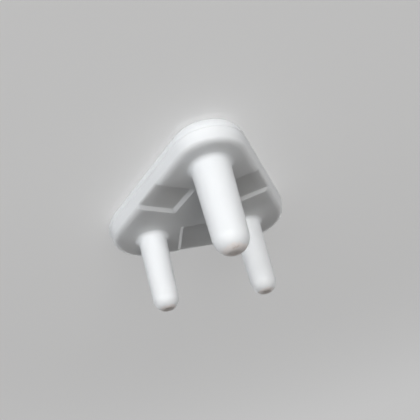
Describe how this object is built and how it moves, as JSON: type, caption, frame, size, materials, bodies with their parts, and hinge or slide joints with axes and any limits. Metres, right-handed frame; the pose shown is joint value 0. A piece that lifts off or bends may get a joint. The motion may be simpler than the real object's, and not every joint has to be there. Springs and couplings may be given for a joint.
{
  "type": "outlet safety cover",
  "caption": "White plastic safety cover that plugs into a three-round-pin socket: a rounded triangular plate with finger recesses and solid round pins.",
  "frame": {"origin": "under the middle of the plate's width and length, on its outer face", "axes": "+Z from the outer face along the pins, +Y from the two small pins towards the earth pin, +X along the line of the two small pins"},
  "size_m": [0.035, 0.0386, 0.0225],
  "materials": {
    "white_plastic": "fine satin moulded surface with a soft sheen, slightly cool white"
  },
  "bodies": {
    "root": {"socket_cover": "white_plastic"}
  },
  "joints": []
}
